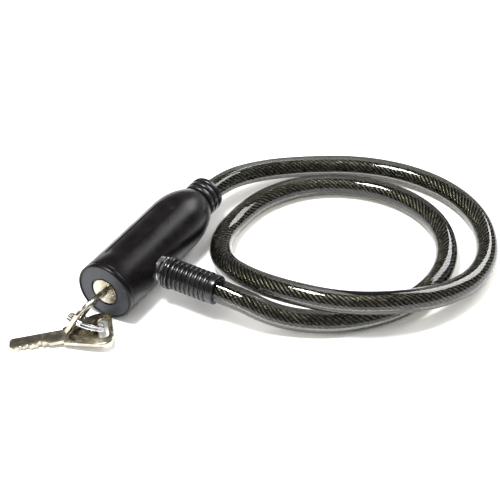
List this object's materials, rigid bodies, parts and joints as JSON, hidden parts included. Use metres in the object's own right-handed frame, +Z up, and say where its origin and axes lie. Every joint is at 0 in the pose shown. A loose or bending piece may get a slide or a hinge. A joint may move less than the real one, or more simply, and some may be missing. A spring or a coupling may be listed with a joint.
{
  "type": "key cable lock",
  "caption": "Key-operated cable lock: barrel lock head, sheathed steel cable in two loops whose end plugs into the head's side, and two keys on a split ring.",
  "frame": {"origin": "on the surface that the lock lies on, under the middle of the box round the lock head and keys without the cable and its plug", "axes": "+Y along the head from its keyed face to the cable's fixed end, +X the way the plug pulls out of the head's side, +Z up"},
  "size_m": [0.1902, 0.2363, 0.032],
  "materials": {
    "cover_rubber": "black rubberised plastic, satin with a fine grain",
    "plate_slate": "dark slate-grey moulded plastic",
    "boot_rubber": "black flexible rubber with a soft sheen",
    "flange_black": "glossy black plastic",
    "zinc": "die-cast zinc alloy, grey",
    "nickel": "nickel-plated brass, pale and bright",
    "steel": "hardened steel, brushed",
    "chrome": "chrome-plated steel",
    "sheath": "smoke-grey clear plastic, glossy",
    "rope": "twisted steel rope, dark and oily",
    "seal": "black rubber"
  },
  "bodies": {
    "head": {"outer_cover": "cover_rubber", "lock_housing": "zinc", "face_plate": "plate_slate", "cylinder_barrel": "nickel", "cylinder_pin": "steel", "socket_bush": "chrome", "seal_ring": "seal", "fixed_ferrule": "steel", "anchor_pins": "steel", "neck_boot": "boot_rubber", "cable_sheath": "sheath", "cable_rope": "rope"},
    "cylinder": {"cylinder_core": "nickel", "core_clip": "steel", "wafers": "nickel", "wafer_springs": "steel"},
    "home_key": {"home_key": "nickel"},
    "split_ring": {"split_ring": "chrome"},
    "spare_key": {"spare_key": "nickel"},
    "free_end": {"locking_bolt": "steel", "plug_collar": "chrome", "plug_flange": "flange_black", "plug_boot": "boot_rubber"}
  },
  "joints": [
    {"name": "key_turn", "type": "hinge", "parent": "head", "child": "cylinder", "pos_m": [0.00644, -0.01534, 0.016], "axis": [0, -1, 0], "range_deg": [-90, 0]},
    {"name": "key_out", "type": "slide", "parent": "cylinder", "child": "home_key", "axis": [0, -1, 0], "range_m": [0, 0.024]},
    {"name": "ring_turn", "type": "hinge", "parent": "home_key", "child": "split_ring", "pos_m": [0.00534, -0.04334, 0.0076], "axis": [0.04, 0.6193, 0.7841], "range_deg": [-24, 4]},
    {"name": "spare_key_turn", "type": "hinge", "parent": "split_ring", "child": "spare_key", "pos_m": [0.00534, -0.04334, 0.0076], "axis": [0.04, 0.6193, 0.7841], "range_deg": [-24, 4]},
    {"name": "plug_pull", "type": "slide", "parent": "head", "child": "free_end", "axis": [1, 0, 0], "range_m": [0, 0.018], "deforming": ["cable_sheath", "cable_rope"]}
  ]
}
